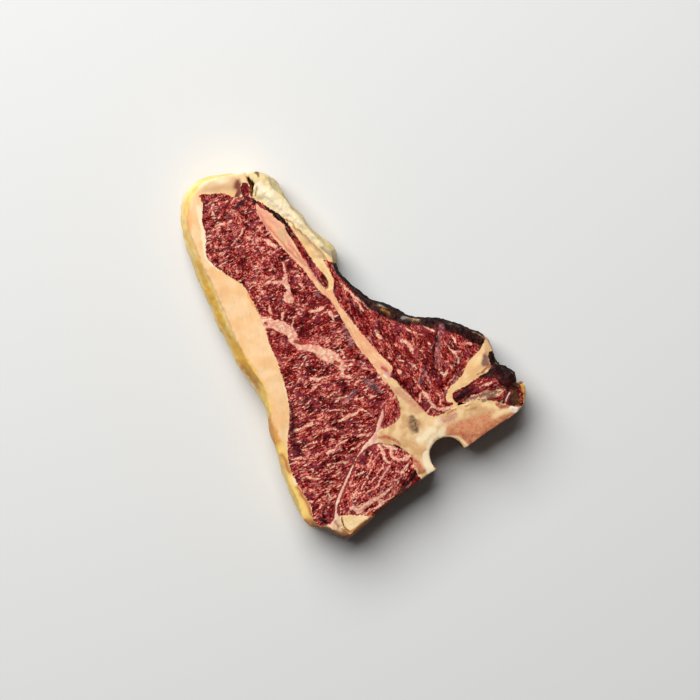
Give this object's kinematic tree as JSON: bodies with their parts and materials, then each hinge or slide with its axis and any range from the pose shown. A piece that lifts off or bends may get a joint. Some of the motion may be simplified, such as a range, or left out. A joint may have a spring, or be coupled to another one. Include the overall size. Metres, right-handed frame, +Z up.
{
  "type": "raw t-bone steak",
  "caption": "Raw T-bone steak cut across the loin: marbled strip loin and tenderloin either side of a T-shaped bone, with a thick fat cap and suet on the outside.",
  "frame": {"origin": "centre of the bounding box on the lower cut face, which lies at Z = 0", "axes": "+X along the sawn backbone edge towards the vertebral body, +Y across the steak towards its thin end, +Z up out of the cut face"},
  "size_m": [0.1757, 0.2566, 0.0376],
  "materials": {
    "red_meat": "moist, marbled raw beef",
    "bone": "sawn bone, satin",
    "cap_fat": "waxy peach to yellow fat",
    "suet": "waxy cream suet",
    "seam_fat": "soft pinkish fat seam",
    "sinew": "glossy white tendon"
  },
  "bodies": {
    "root": {"t_bone": "bone", "strip_loin": "red_meat", "tenderloin": "red_meat", "flank_strip": "red_meat", "tendon": "sinew", "side_muscle": "red_meat", "spine_tip": "bone", "spine_muscle": "red_meat", "bone_muscle": "red_meat", "cap_muscle": "red_meat", "chain_fat": "cap_fat", "wedge_fat": "suet", "kidney_fat": "suet", "seam_fat": "seam_fat", "spine_seam": "seam_fat", "end_fat": "cap_fat", "fat_cap": "cap_fat"}
  },
  "joints": []
}
